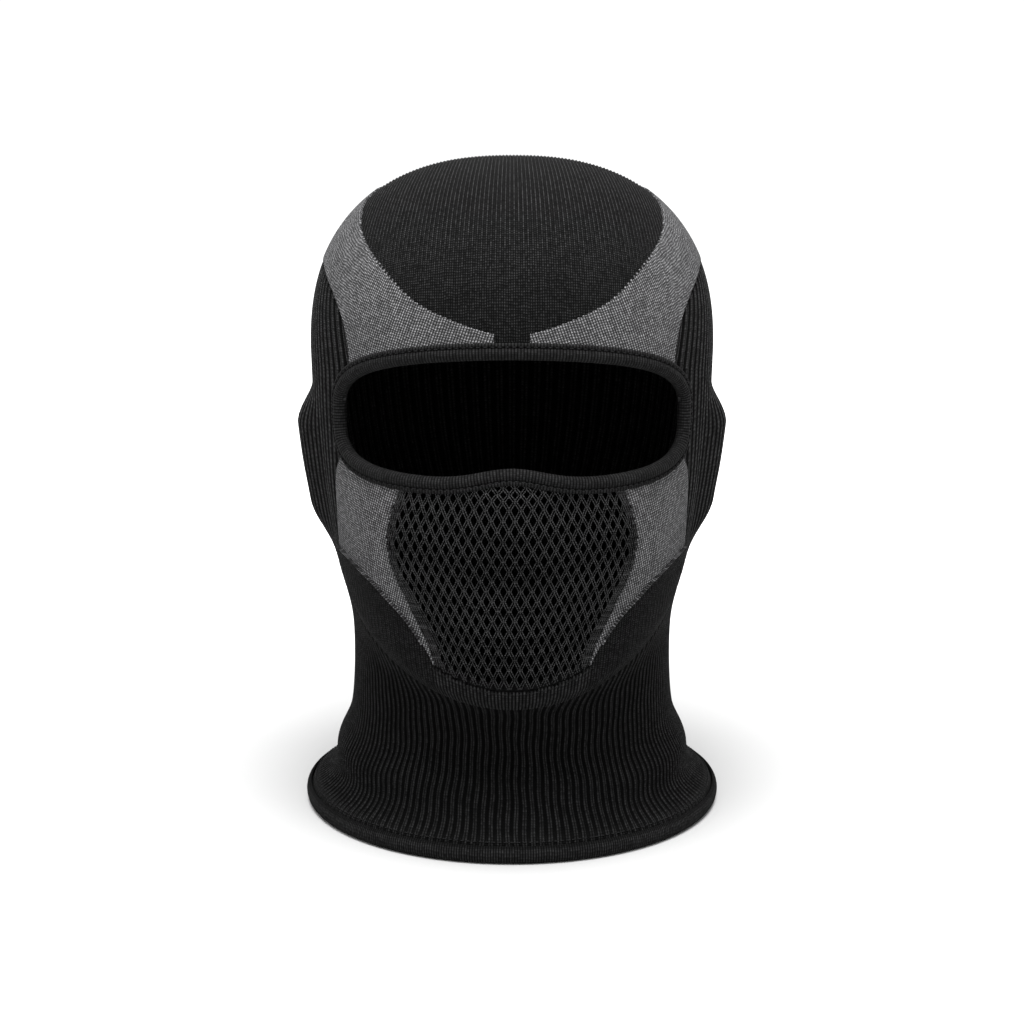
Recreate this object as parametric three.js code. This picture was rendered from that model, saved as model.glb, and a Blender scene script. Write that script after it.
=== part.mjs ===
// A knitted balaclava that stands on its hem: one head-shaped skin, divided into the panels it is
// sewn and knitted from, with a folded binding round the eye opening and a folded band at the hem.
// Millimetres and degrees. +Z is up, the face looks along -Y, and left and right are the wearer's.
import * as THREE from "three";

// ---- Driving dimensions -------------------------------------------------------------------------

const FABRIC = 1.6; // thickness of the knit
const SEAM_GAP = 0.9; // clear gap between the edges of two panels
const FIT = 0.3; // clearance between pieces that lie on or in each other
const TAPE_FIT = 0.5; // clearance between a folded tape and the knit that it holds

const BROW_HEIGHT = 192; // height of the widest ring of the head
const DOME_RISE = 76; // from that ring to the crown
const HEAD = { front: 94, side: 82, back: 104 }; // radii of that ring
const JAW_HEIGHT = { front: 61.5, side: 112, back: 118 }; // height of the line between jaw and neck
const NECK = { front: 75, side: 65.6, back: 70 }; // radii of the narrowest part of the neck
const HEM = { front: 91, side: 84.4, back: 90 }; // radii of the hem

const OPENING_HEIGHT = 49.6; // of the eye opening, between the panels' edges
const OPENING_CENTRE = 15.7; // how far its middle lies below the brow ring
const OPENING_WRAP = 48.7; // how far it reaches round the head on each side of the nose
const NOSE_RISE = 4.3; // how far its lower edge lifts over the nose

const BINDING_TAPE = 0.7; // thickness of one layer of the folded tape round the eye opening
const BINDING_GRIP = 3.7; // how far that tape lies over the panels' edges
const ELASTIC = 1.1; // thickness of the elastic in the fold of the tape
const ELASTIC_GAP = 0.75; // from the panels' edges to the elastic
const HEM_BAND_HEIGHT = 7;
const HEM_TAPE = 0.8; // thickness of one layer of the hem band
const HEM_GRIP = 4; // how far the hem band lies over the neck's edge
const THREAD = 0.5; // thickness of a line of sewing thread
const THREAD_INSET = 1.1; // of a sewn line from the edge of the tape that it holds

const CHEEK_TIP_CUT = 15; // how much of the cheek panel's lower tip is left off
const EAR_SWELL = 8; // how far each ear lifts the fabric
const NOSE_SWELL = 3.5; // how far the nose lifts it

const FOREHEAD_STRIP = 4.2; // half the angle of the strip of the crown that meets the binding
const CHIN_BAND_HEIGHT = 8.5; // of that band, at the front
const BACK_SEAM = 125; // angle where the ear panels end and the back panel starts

// ---- Form factors: the shape of the three profile lines, as shares of the sizes above -----------

// Neck rings, from the hem up: [how much of the hem's extra radius, share of the jaw line's height].
const NECK_FORM = {
  front: [[1, 0], [0.94, 0.13], [0.5, 0.276], [0.25, 0.423], [0, 0.6], [0.125, 0.862]],
  side: [[1, 0], [0.99, 0.063], [0.495, 0.134], [0.415, 0.232], [0.085, 0.384], [0.043, 0.714]],
  back: [[1, 0], [0.95, 0.068], [0.6, 0.153], [0.35, 0.271], [0.05, 0.466], [0, 0.763]],
};
// Head rings, from the jaw line up: [share of the head's radius, share of the way to the brow].
const HEAD_FORM = {
  front: [[0.925, 0], [0.989, 0.065], [1.043, 0.295], [1.064, 0.54], [1.016, 0.793], [1, 1]],
  side: [[0.883, 0], [0.898, 0.075], [0.927, 0.25], [0.959, 0.45], [0.99, 0.75], [1, 1]],
  back: [[0.75, 0], [0.808, 0.135], [0.894, 0.338], [0.942, 0.54], [0.981, 0.77], [1, 1]],
};
const DOME_POWER = 2.4; // superellipse power of the dome's profile: 2 is an ellipse, more is squarer
const PLAN_POWER = { neck: 2, head: 2.25 }; // the same for the rings, seen from above
const OPENING_POWER = { top: 2.1, bottom: 4 }; // the same for the two halves of the eye opening
const NOSE_SPREAD = 10; // half-width of the nose, as an angle

// Outlines on the face: [share of the opening's wrap, share of the height from chin seam to opening].
const MESH_SIDE = [[0.386, 0.104], [0.407, 0.16], [0.448, 0.304], [0.524, 0.459], [0.604, 0.601],
  [0.616, 0.724], [0.575, 0.859]];
const CHEEK_BACK = [[1.142, 0.584], [1.113, 0.663], [1.08, 0.753], [1.068, 0.834], [1.057, 0.914]];
const CHEEK_LOW = [[0.474, 0.3], [0.651, 0.433], [0.897, 0.547], [1.027, 0.573], [1.142, 0.584]];
const CHEEK_TOP = { inner: 0.544, outer: 0.965 }; // where the cheek meets the opening
const TEMPLE_CORNER = 0.879; // where the temple band's lower edge leaves the opening
const EAR_FOOT = 1.17; // where the seam between jaw and ear panel meets the jaw line

// Outlines on the dome: [angle from the nose, ring], where ring runs from 1 at the brow to 2 at the
// crown. The temple's angles are shares of the way from the opening's end to the back of the head.
const CROWN_EDGE = [[4.6, 1.11], [24, 1.177], [45, 1.34], [62, 1.438], [90, 1.525], [120, 1.5],
  [150, 1.37], [180, 1.27]];
const TEMPLE_EDGE = [[-0.021, 1.113], [0.03, 1.182], [0.128, 1.246], [0.315, 1.29], [0.543, 1.315],
  [0.718, 1.325]];
const TEMPLE_TIP = 0.825; // where the band runs out against the crown
const EAR_CORNER = 0.006; // where the ear panel's front edge turns into its top

// Facets
const STEP = 8; // length of a facet along a panel
const CROWN_TURN = 9; // angle of a facet of the crown
const CROWN_ROWS = 9;
const NECK_ROWS = 9;
const TURN = 50; // facets round the neck and the hem
const LOOP_TURN = 60; // facets round the eye opening
const LEAST_SLANT = 0.2; // least sine that a grid's two directions are taken to have
const FINE = 8; // straight pieces of a smooth line between two of its given places

// ---- The skin -----------------------------------------------------------------------------------

const { lerp, clamp, degToRad, smoothstep } = THREE.MathUtils;
const mix = (a, b, share) => a.map((value, k) => lerp(value, b[k], share));

/** The share in 0..1 at which a condition stops holding, found by halving. */
function halve(holds) {
  let low = 0;
  let high = 1;
  for (let i = 0; i < 40; i++) {
    const middle = (low + high) / 2;
    if (holds(middle)) low = middle;
    else high = middle;
  }
  return low;
}

/** One profile line, front, side or back, as a spline of [radius, height] from hem to brow. */
function profileLine(where) {
  const low = NECK_FORM[where].map(([flare, rise]) =>
    new THREE.Vector2(lerp(NECK[where], HEM[where], flare), rise * JAW_HEIGHT[where]));
  const high = HEAD_FORM[where].map(([share, rise]) =>
    new THREE.Vector2(share * HEAD[where], lerp(JAW_HEIGHT[where], BROW_HEIGHT, rise)));
  return new THREE.SplineCurve([...low, ...high]);
}

const LINES = { front: profileLine("front"), side: profileLine("side"), back: profileLine("back") };
const JAW_RING = NECK_FORM.side.length / (NECK_FORM.side.length + HEAD_FORM.side.length - 1);

/** Radius of a superellipse with one radius across and another along, in the direction (sin, cos). */
function superRadius(across, along, sin, cos, power) {
  return (Math.abs(sin / across) ** power + Math.abs(cos / along) ** power) ** (-1 / power);
}

/** How far the ears and the nose lift the fabric. */
function swell(angle, height, ring) {
  const off = Math.abs(angle);
  const lobe = JAW_HEIGHT.side - 8;
  const earTop = BROW_HEIGHT - 13;
  const up = smoothstep(height, lobe, lobe + 24) * (1 - smoothstep(height, earTop - 19, earTop));
  const round = smoothstep(off, 62, 86) * (1 - smoothstep(off, 100, 128));
  const noseHeight = lerp(JAW_HEIGHT.front, BROW_HEIGHT, 0.6);
  const nose = Math.exp(-((off / NOSE_SPREAD) ** 2) - ((height - noseHeight) / 16) ** 2);
  return EAR_SWELL * up * round + (ring < 1 ? NOSE_SWELL * nose : 0);
}

/** A point of the outer skin. ring runs from 0 at the hem to 1 at the brow and 2 at the crown. */
function skinPoint([angle, ring]) {
  const turned = ((angle + 540) % 360) - 180;
  const sin = Math.sin(degToRad(turned));
  const cos = Math.cos(degToRad(turned));
  const low = clamp(ring, 0, 1);
  const side = LINES.side.getPoint(low);
  const end = (cos > 0 ? LINES.front : LINES.back).getPoint(low);
  const power = lerp(PLAN_POWER.neck, PLAN_POWER.head, smoothstep(low, 0, JAW_RING));
  let radius = superRadius(side.x, end.x, sin, cos, power);
  let height = lerp(side.y, end.y, cos * cos);
  if (ring > 1) {
    const climb = degToRad(90 * Math.min(ring - 1, 1));
    const reach = superRadius(DOME_RISE, radius, Math.sin(climb), Math.cos(climb), DOME_POWER);
    radius = reach * Math.cos(climb);
    height = BROW_HEIGHT + reach * Math.sin(climb);
  }
  radius += swell(turned, height, ring);
  return new THREE.Vector3(radius * sin, -radius * cos, height);
}

/** How the skin runs on at a place, in millimetres for one degree and for one whole ring. */
function skinSlopes([angle, ring]) {
  const near = clamp(ring, 0.005, 1.985);
  const turn = skinPoint([angle + 1, near]).sub(skinPoint([angle - 1, near])).divideScalar(2);
  const rise = skinPoint([angle, near + 0.005]).sub(skinPoint([angle, near - 0.005])).divideScalar(0.01);
  return { turn, rise };
}

/** A point at a depth under the skin. */
function under(place, depth) {
  const { turn, rise } = skinSlopes(place);
  return skinPoint(place).addScaledVector(turn.cross(rise).normalize(), -depth);
}

/** The ring that passes through a height at an angle. */
const ringAt = (angle, height) => 1.999 * halve((share) => skinPoint([angle, 1.999 * share]).z < height);

/** The place that lies a distance further up the skin. */
const higher = ([angle, ring], distance) =>
  [angle, ring + distance / skinSlopes([angle, ring]).rise.length()];

// ---- Lines on the skin --------------------------------------------------------------------------

/** A line of [angle, ring] places on the skin, walked by its true length. */
class SkinLine {
  constructor(places, joints = []) {
    this.places = places;
    this.joints = joints; // shares of the length at which the line turns a corner
    this.walked = [0];
    for (let i = 1; i < places.length; i++)
      this.walked.push(this.walked[i - 1] + skinPoint(places[i]).distanceTo(skinPoint(places[i - 1])));
    this.length = this.walked.at(-1);
  }

  at(share) {
    const goal = clamp(share, 0, 1) * this.length;
    const i = clamp(this.walked.findIndex((length) => length >= goal), 1, this.places.length - 1);
    const part = (goal - this.walked[i - 1]) / (this.walked[i] - this.walked[i - 1]);
    return mix(this.places[i - 1], this.places[i], part);
  }

  /** The part of the line from a distance along it to its end. */
  after(distance) {
    const steps = this.places.length;
    return new SkinLine(Array.from({ length: steps + 1 }, (_, i) =>
      this.at(lerp(distance / this.length, 1, i / steps))));
  }

  get reversed() {
    return new SkinLine([...this.places].reverse(), this.joints.map((share) => 1 - share).reverse());
  }

  /** The same line on the other side of the face. */
  get flipped() {
    return new SkinLine(this.places.map(([angle, ring]) => [-angle, ring]), this.joints);
  }
}

/** A smooth line through places. */
function through(...places) {
  const curve = new THREE.SplineCurve(places.map(([angle, ring]) => new THREE.Vector2(angle, ring)));
  return new SkinLine(curve.getPoints(FINE * (places.length - 1)).map((point) => point.toArray()));
}

/** Lines end to end, with a corner at each joint. */
function chain(...lines) {
  const total = lines.reduce((sum, line) => sum + line.length, 0);
  let walked = 0;
  const joints = lines.slice(0, -1).map((line) => (walked += line.length) / total);
  return new SkinLine(lines.flatMap((line, i) => line.places.slice(i ? 1 : 0)), joints);
}

/** A line that follows a function that gives its places. */
function following(place, from, to) {
  const steps = Math.abs(place(to)[0] - place(from)[0]) / 2;
  const count = Math.max(FINE, Math.ceil(steps));
  return new SkinLine(Array.from({ length: count + 1 }, (_, i) => place(lerp(from, to, i / count))));
}

/** The ring of a line at an angle. */
function ringOf(line, angle) {
  const i = clamp(line.places.findIndex((place) => place[0] >= angle), 1, line.places.length - 1);
  const [near, far] = [line.places[i - 1], line.places[i]];
  return mix(near, far, clamp((angle - near[0]) / (far[0] - near[0]), 0, 1))[1];
}

/** The panels' edge round the eye opening: a superellipse whose lower edge lifts over the nose. */
function openingEdge(turn) {
  const sin = Math.sin(degToRad(turn));
  const cos = Math.cos(degToRad(turn));
  const power = sin > 0 ? OPENING_POWER.top : OPENING_POWER.bottom;
  const reach = superRadius(OPENING_HEIGHT / 2, OPENING_WRAP, sin, cos, power);
  const angle = reach * cos;
  const lift = sin < 0 ? NOSE_RISE * Math.exp(-((angle / NOSE_SPREAD) ** 2)) : 0;
  return [angle, ringAt(angle, BROW_HEIGHT - OPENING_CENTRE + reach * sin + lift)];
}

/** The turn at which the upper (1) or lower (-1) half of the opening's edge passes an angle. */
const openingTurn = (angle, half) =>
  half * 180 * halve((share) => openingEdge(half * 180 * share)[0] > angle);

const openingLow = BROW_HEIGHT - OPENING_CENTRE - OPENING_HEIGHT / 2;
const chinSeamHeight = JAW_HEIGHT.front + CHIN_BAND_HEIGHT;
const onFace = ([across, up]) => {
  const angle = across * OPENING_WRAP;
  return [angle, ringAt(angle, lerp(chinSeamHeight, openingLow, up))];
};
const round = (share) => lerp(OPENING_WRAP, 180, share);
const onJaw = (angle) => [angle, JAW_RING];

const crownEdge = through(...CROWN_EDGE);
const onCrownEdge = (angle) =>
  [angle, ringOf(crownEdge, angle > 180 ? 360 - angle : Math.abs(angle))];

const templeTurn = openingTurn(TEMPLE_CORNER * OPENING_WRAP, 1);
const cheekOuter = openingTurn(CHEEK_TOP.outer * OPENING_WRAP, -1);
const cheekInner = openingTurn(CHEEK_TOP.inner * OPENING_WRAP, -1);
const templeEdge = TEMPLE_EDGE.map(([share, ring]) => [round(share), ring]);
const templeEnd = through(templeEdge.at(-1), onCrownEdge(round(TEMPLE_TIP)));
const templeLow = through(openingEdge(templeTurn), ...templeEdge);
const onTempleLow = (angle) => [angle, ringOf(templeLow, angle)];

const meshSide = through(...MESH_SIDE.map(onFace), openingEdge(cheekInner));
const cheekBack = through(...CHEEK_BACK.map(onFace), openingEdge(cheekOuter));
const cheekLow = through(onFace(MESH_SIDE[1]), ...CHEEK_LOW.map(onFace));
const meshFoot = new SkinLine(meshSide.places.slice(0, FINE + 1));
const cheekFront = new SkinLine(meshSide.places.slice(FINE));
const earFoot = EAR_FOOT * OPENING_WRAP;
const earCorner = round(EAR_CORNER);
const jawBack = through(onJaw(earFoot), onFace(CHEEK_BACK[0]));
const [chinWrap, chinRise] = MESH_SIDE[0];
const chinCorner = onFace(MESH_SIDE[0]);
const chinSeam = following((across) => onFace([across, chinRise * (across / chinWrap) ** 2]),
  -chinWrap, chinWrap);

// ---- Solids -------------------------------------------------------------------------------------

/** A closed geometry from a list of corners and a list of three-sided or four-sided faces. */
function solidFrom(corners, faces) {
  const geometry = new THREE.BufferGeometry();
  geometry.setAttribute("position",
    new THREE.Float32BufferAttribute(corners.flatMap((corner) => corner.toArray()), 3));
  geometry.setIndex(faces.flatMap(([a, b, c, d]) => {
    if (d === undefined) return [a, b, c];
    const shorter = corners[a].distanceTo(corners[c]) <= corners[b].distanceTo(corners[d]);
    return shorter ? [a, b, c, a, c, d] : [a, b, d, b, c, d];
  }));
  geometry.computeVertexNormals();
  return geometry;
}

/** Fabric on a grid of places. A round grid closes on itself, a capped one ends at the crown. */
function fabricSolid(grid, { round = false, capped = false } = {}) {
  const columns = grid[0].length;
  const size = grid.length * columns;
  const corners = [0, FABRIC].flatMap((depth) => grid.flat().map((place) => under(place, depth)));
  const at = (row, column, layer) => layer * size + row * columns + (column % columns);
  const top = grid.length - 1;
  const steps = round ? columns : columns - 1;
  const faces = [];
  for (let column = 0; column < steps; column++) {
    for (let row = 0; row < top; row++) {
      const outer = [[0, 0], [0, 1], [1, 1], [1, 0]].map(([up, on]) => at(row + up, column + on, 0));
      faces.push(outer, outer.map((corner) => corner + size).reverse());
    }
    const rim = (row) => [[0, 0], [0, 1], [1, 1], [1, 0]].map(([on, layer]) => at(row, column + on, layer));
    faces.push(rim(0));
    if (!capped) faces.push(rim(top).reverse());
  }
  for (let row = 0; row < top && !round; row++) {
    const rim = (column) =>
      [[1, 0], [1, 1], [0, 1], [0, 0]].map(([up, layer]) => at(row + up, column, layer));
    faces.push(rim(0), rim(steps).reverse());
  }
  if (capped) {
    const poles = [0, FABRIC].map((depth) => corners.push(under([0, 2], depth)) - 1);
    for (let column = 0; column < columns; column++) {
      faces.push([at(top, column, 0), at(top, column + 1, 0), poles[0]]);
      faces.push([at(top, column + 1, 1), at(top, column, 1), poles[1]]);
    }
  }
  return solidFrom(corners, faces);
}

/** Shares at which a panel's grid has its lines: even steps that stop at every corner of its edges. */
function gridShares(lines, middle) {
  const stops = [...new Set([0, ...lines.flatMap((line) => line.joints), 1])].sort((a, b) => a - b);
  const length = Math.max(middle, ...lines.map((line) => line.length));
  const shares = [0];
  for (let i = 1; i < stops.length; i++) {
    const count = Math.max(1, Math.round(((stops[i] - stops[i - 1]) * length) / STEP));
    for (let j = 1; j <= count; j++) shares.push(lerp(stops[i - 1], stops[i], j / count));
  }
  return shares;
}

/** A panel between four lines that meet at its corners, drawn in by half a seam gap all round. */
function panelSolid({ bottom, top, left, right }) {
  const at = (s, t) => [0, 1].map((k) =>
    lerp(bottom.at(s)[k], top.at(s)[k], t) + lerp(left.at(t)[k], right.at(t)[k], s)
    - lerp(lerp(bottom.at(0)[k], bottom.at(1)[k], s), lerp(top.at(0)[k], top.at(1)[k], s), t));
  const span = (...places) => new SkinLine(places).length;
  const slant = (s, t) => {
    const across = skinPoint(at(Math.min(s + 0.02, 1), t)).sub(skinPoint(at(Math.max(s - 0.02, 0), t)));
    const along = skinPoint(at(s, Math.min(t + 0.02, 1))).sub(skinPoint(at(s, Math.max(t - 0.02, 0))));
    return Math.max(LEAST_SLANT, Math.sin(across.angleTo(along)));
  };
  const drawnIn = (share, length, sine) => {
    const inset = Math.min(0.3, SEAM_GAP / 2 / (length * sine));
    return lerp(inset, 1 - inset, share);
  };
  const columns = gridShares([bottom, top], span(at(0, 0.5), at(0.5, 0.5), at(1, 0.5)));
  const rows = gridShares([left, right], span(at(0.5, 0), at(0.5, 0.5), at(0.5, 1)));
  const grid = rows.map((t) => columns.map((s) => {
    const width = span(at(0, t), at(0.5, t), at(1, t));
    const height = span(at(s, 0), at(s, 0.5), at(s, 1));
    const sine = slant(s, t);
    return at(drawnIn(s, width, sine), drawnIn(t, height, sine));
  }));
  return fabricSolid(grid);
}

/** The same four lines on the other side of the face. */
const mirrored = ({ bottom, top, left, right }) => ({
  bottom: bottom.flipped.reversed,
  top: top.flipped.reversed,
  left: right.flipped,
  right: left.flipped,
});

/** A section of [distance along the skin to the line's right, height over it], swept along a line. */
function sweep(places, section, closed) {
  const count = places.length;
  const corners = places.flatMap((place, i) => {
    const next = closed ? (i + 1) % count : Math.min(i + 1, count - 1);
    const last = closed ? (i + count - 1) % count : Math.max(i - 1, 0);
    const { turn, rise } = skinSlopes(place);
    const along = skinPoint(places[next]).sub(skinPoint(places[last]));
    const right = along.cross(turn.clone().cross(rise)).normalize();
    const across = [right.dot(turn) / turn.lengthSq(), right.dot(rise) / rise.lengthSq()];
    return section.map(([m, n]) => under(place.map((value, k) => value + m * across[k]), -n));
  });
  const size = section.length;
  const faces = [];
  for (let i = 0; i < (closed ? count : count - 1); i++) {
    const [near, far] = [i * size, ((i + 1) % count) * size];
    for (let j = 0; j < size; j++) {
      const k = (j + 1) % size;
      faces.push([near + j, far + j, far + k, near + k]);
    }
  }
  if (!closed) {
    const end = (count - 1) * size;
    faces.push(section.map((_, j) => j), section.map((_, j) => end + size - 1 - j));
  }
  return solidFrom(corners, faces);
}

/** The section of a tape folded over the panels' edge, round a middle to the left of the edge. */
function foldedTape(middle, grip, tape) {
  const half = FABRIC / 2 + TAPE_FIT + tape;
  const arc = (radius, from, to, steps) => Array.from({ length: steps + 1 }, (_, i) => {
    const angle = degToRad(lerp(from, to, i / steps));
    return [middle + radius * Math.cos(angle), radius * Math.sin(angle) - FABRIC / 2];
  });
  const [outside, inside] = [arc(half, 90, 270, 4), arc(half - tape, 270, 90, 4)];
  return [[grip, outside[0][1]], ...outside, [grip, outside.at(-1)[1]],
    [grip, inside[0][1]], ...inside, [grip, inside.at(-1)[1]]];
}

/** A four-sided section with one corner at (m, n). */
const bar = (m, n, width, height) => [[m, n], [m, n + height], [m - width, n + height], [m - width, n]];

// ---- Pieces -------------------------------------------------------------------------------------

const MATERIALS = {
  black_knit: { color: 0x161616, roughness: 0.92 },
  grey_knit: { color: 0x5c5c5e, roughness: 0.9 },
  black_rib: { color: 0x131313, roughness: 0.95 },
  black_mesh: { color: 0x0f0f0f, roughness: 0.85 },
  black_tape: { color: 0x151515, roughness: 0.88 },
  elastic: { color: 0xb8b6b0, roughness: 0.7 },
  thread: { color: 0x1d1d1d, roughness: 0.6 },
};

const balaclava = new THREE.Group();

function add(name, geometry, material) {
  const look = new THREE.MeshStandardMaterial({ metalness: 0, ...MATERIALS[material] });
  const mesh = new THREE.Mesh(geometry, look);
  mesh.name = name;
  balaclava.add(mesh);
}

/** Adds a panel on the wearer's left (+X) and its mirror image on the right. */
function addPair(name, edges, material) {
  add(`${name}_left`, panelSolid(edges), material);
  add(`${name}_right`, panelSolid(mirrored(edges)), material);
}

/** The crown: from its edge up to the pole, with a strip at the front that reaches the binding. */
function crownPanel() {
  const half = FOREHEAD_STRIP - 0.2;
  const side = [half, half + 0.3];
  for (let angle = CROWN_TURN; angle < 180; angle += CROWN_TURN) side.push(angle);
  const angles = [0, ...side, 180, ...side.map((angle) => 360 - angle).reverse()];
  const low = (angle) => {
    const off = Math.min(angle, 360 - angle);
    if (off > half) return higher([angle, onCrownEdge(off)[1]], SEAM_GAP / 2);
    return [angle, openingEdge(openingTurn(off, 1))[1]];
  };
  const foot = angles.map(low);
  const pole = angles.map((_, i) => [(360 * i) / angles.length, 2]);
  const body = Array.from({ length: CROWN_ROWS }, (_, row) =>
    angles.map((_, i) => mix(higher(foot[i], BINDING_GRIP), pole[i], row / CROWN_ROWS)));
  return fabricSolid([foot, ...body], { round: true, capped: true });
}

const hemStart = HEM_BAND_HEIGHT - HEM_GRIP;

/** The neck: a ribbed tube from inside the hem band up to the jaw line. */
function neckTube() {
  const angles = Array.from({ length: TURN }, (_, i) => (360 * i) / TURN);
  const foot = angles.map((angle) => [angle, ringAt(angle, hemStart)]);
  const body = Array.from({ length: NECK_ROWS + 1 }, (_, row) => angles.map((angle) =>
    mix([angle, ringAt(angle, HEM_BAND_HEIGHT)], higher(onJaw(angle), -SEAM_GAP / 2), row / NECK_ROWS)));
  return fabricSolid([foot, ...body], { round: true });
}

function addPanels() {
  add("crown_panel", crownPanel(), "black_knit");
  const strip = FOREHEAD_STRIP + 0.3;
  const stripTurn = openingTurn(strip, 1);
  addPair("temple_band", {
    bottom: chain(following(openingEdge, stripTurn, templeTurn), templeLow),
    top: following(onCrownEdge, strip, round(TEMPLE_TIP)),
    left: through(openingEdge(stripTurn), onCrownEdge(strip)),
    right: templeEnd,
  }, "grey_knit");

  addPair("ear_panel", {
    bottom: following(onJaw, earFoot, BACK_SEAM),
    top: following(onTempleLow, earCorner, BACK_SEAM),
    left: chain(jawBack, cheekBack, following(openingEdge, cheekOuter, templeTurn),
      following(onTempleLow, TEMPLE_CORNER * OPENING_WRAP, earCorner)),
    right: through(onJaw(BACK_SEAM), onTempleLow(BACK_SEAM)),
  }, "black_rib");

  const seam = through(onJaw(BACK_SEAM), onTempleLow(BACK_SEAM));
  const overBack = chain(following(onTempleLow, BACK_SEAM, templeEdge.at(-1)[0]), templeEnd,
    following(onCrownEdge, round(TEMPLE_TIP), 180));
  const otherSide = (line) =>
    new SkinLine(line.places.map(([angle, ring]) => [360 - angle, ring]), line.joints).reversed;
  add("back_panel", panelSolid({
    bottom: following(onJaw, BACK_SEAM, 360 - BACK_SEAM),
    top: chain(overBack, otherSide(overBack)),
    left: seam,
    right: otherSide(seam).reversed,
  }), "black_rib");

  const cheekLeft = cheekFront.after(CHEEK_TIP_CUT);
  const cheekRight = cheekLow.after(CHEEK_TIP_CUT);
  addPair("cheek_panel", {
    bottom: through(cheekLeft.at(0), cheekRight.at(0)),
    top: following(openingEdge, cheekInner, cheekOuter),
    left: cheekLeft,
    right: chain(cheekRight, cheekBack),
  }, "grey_knit");

  add("mouth_mesh", panelSolid({
    bottom: chinSeam,
    top: following(openingEdge, -180 - cheekInner, cheekInner),
    left: meshSide.flipped,
    right: meshSide,
  }), "black_mesh");

  addPair("jaw_panel", {
    bottom: following(onJaw, chinCorner[0], earFoot),
    top: chain(meshFoot, cheekLow),
    left: through(onJaw(chinCorner[0]), chinCorner),
    right: jawBack,
  }, "black_knit");

  add("chin_band", panelSolid({
    bottom: following(onJaw, -chinCorner[0], chinCorner[0]),
    top: chinSeam,
    left: through(onJaw(-chinCorner[0]), chinSeam.at(0)),
    right: through(onJaw(chinCorner[0]), chinCorner),
  }), "black_rib");

  add("neck_tube", neckTube(), "black_rib");
}

/** The folded tape round the eye opening, the elastic in its fold and the thread that sews it. */
function addOpeningTrim() {
  const loop = Array.from({ length: LOOP_TURN }, (_, i) => openingEdge((360 * i) / LOOP_TURN));
  const middle = -ELASTIC_GAP - ELASTIC / 2;
  add("eye_binding", sweep(loop, foldedTape(middle, BINDING_GRIP, BINDING_TAPE), true), "black_tape");
  const elastic = bar(-ELASTIC_GAP, -(FABRIC + ELASTIC) / 2, ELASTIC, ELASTIC);
  add("eye_elastic", sweep(loop, elastic, true), "elastic");
  const over = TAPE_FIT + BINDING_TAPE + FIT;
  add("eye_stitching", sweep(loop, bar(BINDING_GRIP - THREAD_INSET, over, THREAD, THREAD), true), "thread");
}

/** The folded band at the hem, with a flat foot, and the thread that sews it. */
function addHem() {
  const outer = -TAPE_FIT - HEM_TAPE;
  const inner = FABRIC + TAPE_FIT + HEM_TAPE;
  const cut = HEM_TAPE * 0.8;
  const section = [[HEM_BAND_HEIGHT, outer], [hemStart, outer], [cut, outer], [0, outer + cut],
    [0, inner - cut], [cut, inner], [hemStart, inner], [HEM_BAND_HEIGHT, inner],
    [HEM_BAND_HEIGHT, inner - HEM_TAPE], [hemStart - TAPE_FIT, inner - HEM_TAPE],
    [hemStart - TAPE_FIT, -TAPE_FIT], [HEM_BAND_HEIGHT, -TAPE_FIT]];
  add("hem_band", hemRing(section), "black_tape");
  const [low, over] = [HEM_BAND_HEIGHT - THREAD_INSET, outer - FIT];
  add("hem_stitching", hemRing([[low, over], [low, over - THREAD], [low - THREAD, over - THREAD],
    [low - THREAD, over]]), "thread");
}

/** A section of [height, depth under the skin], carried round the hem. */
function hemRing(section) {
  const corners = Array.from({ length: TURN }, (_, i) => (360 * i) / TURN).flatMap((angle) =>
    section.map(([height, depth]) => {
      const corner = under([angle, ringAt(angle, height)], depth);
      return height < hemStart ? corner.setZ(height) : corner;
    }));
  const size = section.length;
  const faces = corners.map((_, i) => {
    const [turn, j] = [Math.floor(i / size) * size, i % size];
    const next = (turn + size) % corners.length;
    const k = (j + 1) % size;
    return [turn + j, turn + k, next + k, next + j];
  });
  return solidFrom(corners, faces);
}

/** The sewn line between the mesh and the chin band. */
function addChinStitching() {
  const count = 14;
  const places = Array.from({ length: count + 1 }, (_, i) => chinSeam.at(lerp(0.02, 0.98, i / count)));
  add("chin_stitching", sweep(places, bar(THREAD / 2, FIT, THREAD, THREAD), false), "thread");
}

addPanels();
addOpeningTrim();
addHem();
addChinStitching();

// The origin is under the middle of the object's own box.
const box = new THREE.Box3().setFromObject(balaclava);
balaclava.position.y = -(box.min.y + box.max.y) / 2;

export default balaclava;
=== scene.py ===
# %% [markdown]
# # A knitted balaclava, dressed in yarn
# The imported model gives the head-shaped skin and the places of its panels. Each step below replaces
# one of its plain solids by knitting: ribs, stitches, stepped colour borders, a net over the mouth.
# Everything is worked out in millimetres on one skin and turned into metres when a mesh is made.

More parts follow.
